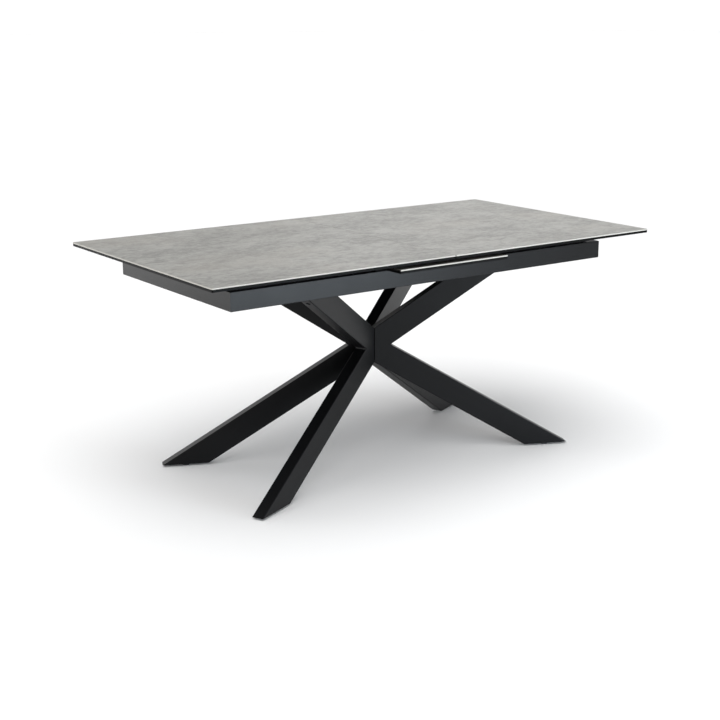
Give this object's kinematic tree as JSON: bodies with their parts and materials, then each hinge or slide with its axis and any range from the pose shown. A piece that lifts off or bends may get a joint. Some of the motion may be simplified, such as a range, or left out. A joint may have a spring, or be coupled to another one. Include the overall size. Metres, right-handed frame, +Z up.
{
  "type": "extendable dining table",
  "caption": "Extendable dining table with a ceramic-on-glass top in two sliding halves, a loose leaf stored under the seam, and a crossed black tubular steel base.",
  "frame": {"origin": "on the floor, under the middle of the closed top", "axes": "+X along the table's length, -Y towards the front where the stored leaf is drawn out, +Z up"},
  "size_m": [1.68, 0.9, 0.755],
  "materials": {
    "concrete_ceramic": "matt printed stoneware, grey concrete look, with a pale unglazed edge",
    "black_glass": "tempered glass, lacquered black underneath",
    "black_steel": "fine matt powder coat, near black anthracite",
    "zinc_steel": "zinc-plated fasteners",
    "zinc_sheet": "zinc-plated pressed sheet",
    "aluminium": "natural anodised extrusion",
    "nylon": "natural nylon",
    "rubber": "black rubber",
    "glide_plastic": "black polyethylene",
    "felt": "charcoal felt"
  },
  "bodies": {
    "base": {"apron_back": "black_steel", "apron_front": "black_steel", "apron_left": "black_steel", "apron_right": "black_steel", "arm_back_left": "black_steel", "arm_back_right": "black_steel", "arm_bolts": "zinc_steel", "arm_end_plates": "black_steel", "arm_front_left": "black_steel", "arm_front_right": "black_steel", "cross_rail_left": "black_steel", "cross_rail_right": "black_steel", "end_stops": "rubber", "felt_strips": "felt", "foot_glides": "glide_plastic", "foot_plates": "black_steel", "gear_rail": "black_steel", "guide_channel_back": "aluminium", "guide_channel_front": "aluminium", "hub_nuts": "zinc_steel", "hub_plate_left": "black_steel", "hub_plate_right": "black_steel", "hub_screws": "zinc_steel", "leaf_rest_back": "black_steel", "leaf_rest_front": "black_steel", "leaf_rest_screws": "zinc_steel", "leg_back_left": "black_steel", "leg_back_right": "black_steel", "leg_front_left": "black_steel", "leg_front_right": "black_steel", "pinion_axle": "zinc_steel", "weld_nuts": "zinc_steel"},
    "left_half": {"bracket_screws_left": "zinc_steel", "brackets_left": "zinc_sheet", "ceramic_top_left": "concrete_ceramic", "glass_top_left": "black_glass", "inner_bar_left": "black_steel", "leaf_lugs_left": "zinc_sheet", "outer_bar_left": "black_steel", "rack_bracket_left": "zinc_sheet", "rack_left": "nylon", "runner_left_back": "black_steel", "runner_left_front": "black_steel", "shoes_left": "nylon"},
    "right_half": {"bracket_screws_right": "zinc_steel", "brackets_right": "zinc_sheet", "ceramic_top_right": "concrete_ceramic", "glass_top_right": "black_glass", "inner_bar_right": "black_steel", "leaf_lugs_right": "zinc_sheet", "outer_bar_right": "black_steel", "rack_bracket_right": "zinc_sheet", "rack_right": "nylon", "runner_right_back": "black_steel", "runner_right_front": "black_steel", "shoes_right": "nylon"},
    "leaf": {"ceramic_leaf": "concrete_ceramic", "glass_leaf": "black_glass"},
    "pinion": {"pinion": "nylon"}
  },
  "joints": [
    {"name": "left_half_slide", "type": "slide", "parent": "base", "child": "left_half", "axis": [-1, 0, 0], "range_m": [0, 0.21]},
    {"name": "right_half_slide", "type": "slide", "parent": "base", "child": "right_half", "axis": [1, 0, 0], "range_m": [0, 0.21]},
    {"name": "leaf_draw", "type": "slide", "parent": "base", "child": "leaf", "axis": [0, -1, 0], "range_m": [0, 0.905]},
    {"name": "pinion_spin", "type": "hinge", "parent": "base", "child": "pinion", "pos_m": [0, 0, 0.695], "axis": [0, 0, -1], "range_deg": [0, 502]}
  ],
  "couplings": [
    {"joint": "right_half_slide", "follows": "left_half_slide", "ratio": 1},
    {"joint": "pinion_spin", "follows": "left_half_slide", "rad_per_m": 41.667}
  ]
}
